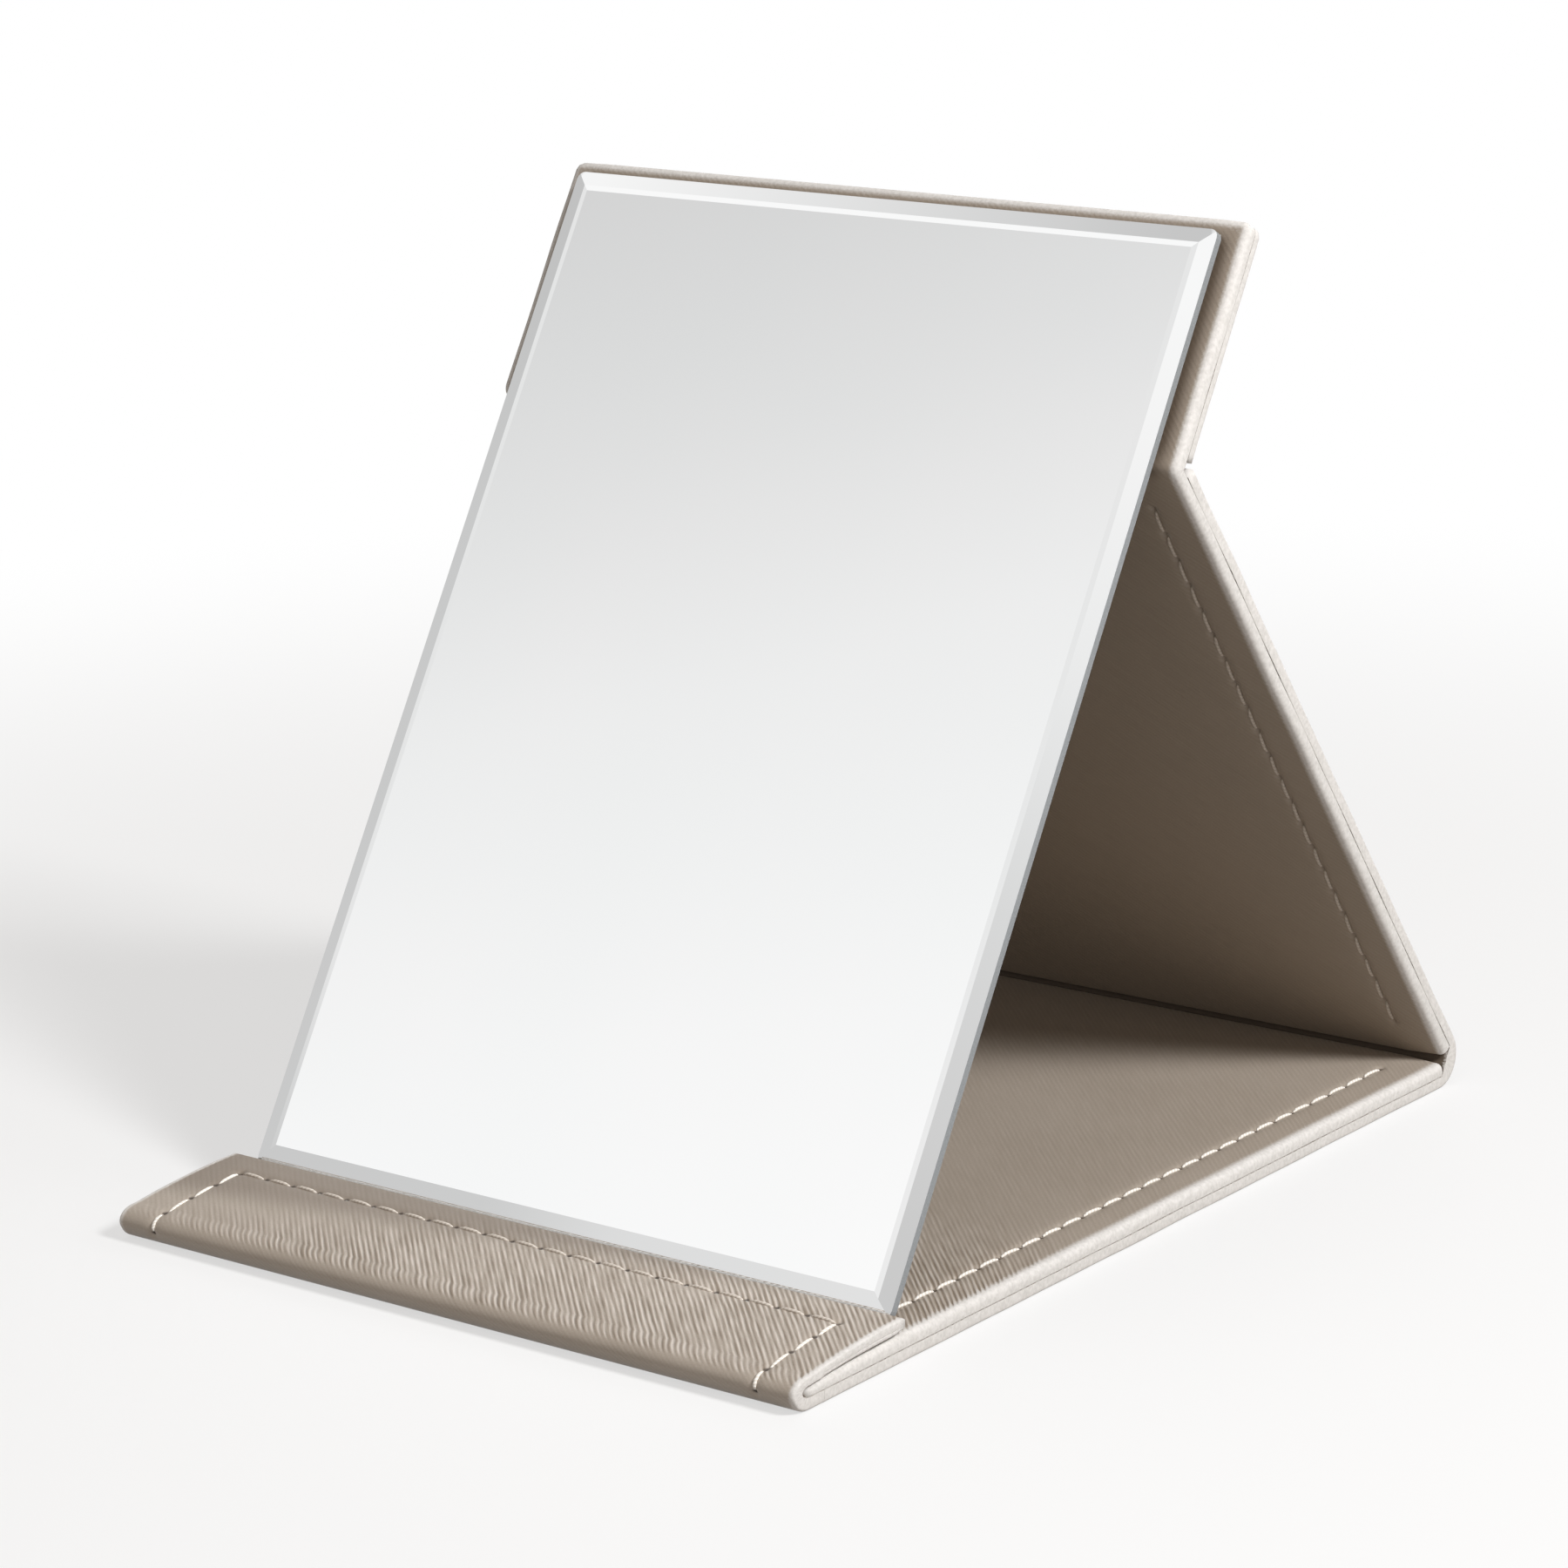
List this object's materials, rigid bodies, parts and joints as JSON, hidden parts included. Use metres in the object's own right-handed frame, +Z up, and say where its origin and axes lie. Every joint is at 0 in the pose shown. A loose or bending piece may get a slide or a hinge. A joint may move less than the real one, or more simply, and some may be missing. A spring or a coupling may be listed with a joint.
{
  "type": "folding makeup mirror",
  "caption": "Free-standing makeup mirror: a bevelled glass on a sewn fold-out cover whose rear leg, base and front flap fold to make the stand.",
  "frame": {"origin": "on the table, below the middle of the part's box, at rest in its standing pose", "axes": "+X across the glass to the viewer's right, +Y from the front flap to the rear fold, +Z up"},
  "size_m": [0.1268, 0.1768, 0.1482],
  "materials": {
    "cover_ply": "cross-grain embossed, satin",
    "thread": "twisted thread",
    "board": "matt",
    "magnet": "nickel plated",
    "keeper_steel": "plain sheet",
    "mirror_glass": "polished, bevelled",
    "silvering": "reflecting",
    "backing_film": "matt",
    "mounting_tape": "foam tape"
  },
  "bodies": {
    "base": {"base_outer_ply": "cover_ply", "base_stiffener": "board", "base_lining_ply": "cover_ply", "base_seam_thread": "thread", "front_fold_ply": "cover_ply", "rear_fold_ply": "cover_ply"},
    "flap": {"flap_outer_ply": "cover_ply", "flap_lining_ply": "cover_ply", "flap_magnets": "magnet", "flap_seam_thread": "thread"},
    "leg": {"leg_outer_ply": "cover_ply", "leg_stiffener": "board", "leg_lining_ply": "cover_ply", "leg_seam_thread": "thread", "crease_fold_ply": "cover_ply"},
    "mirror": {"strip_outer_ply": "cover_ply", "strip_stiffener": "board", "strip_lining_ply": "cover_ply", "strip_seam_thread": "thread", "strip_keeper_plates": "keeper_steel", "mirror_glass": "mirror_glass", "mirror_silvering": "silvering", "mirror_backing_film": "backing_film", "mirror_mounting_tape": "mounting_tape"}
  },
  "joints": [
    {"name": "rear_fold", "type": "hinge", "parent": "base", "child": "leg", "pos_m": [0, 0.08366, 0.0048], "axis": [-1, 0, 0], "range_deg": [0, 126], "deforming": ["rear_fold_ply"]},
    {"name": "crease_fold", "type": "hinge", "parent": "leg", "child": "mirror", "pos_m": [0, 0.00763, 0.1142], "axis": [1, 0, 0], "range_deg": [0, 66.8], "deforming": ["crease_fold_ply"]},
    {"name": "flap_fold", "type": "hinge", "parent": "base", "child": "flap", "pos_m": [0, -0.08518, 0.00328], "axis": [1, 0, 0], "range_deg": [0, 180], "deforming": ["front_fold_ply"]}
  ],
  "couplings": [
    {"joint": "crease_fold", "follows": "rear_fold", "ratio": 0.5301}
  ]
}
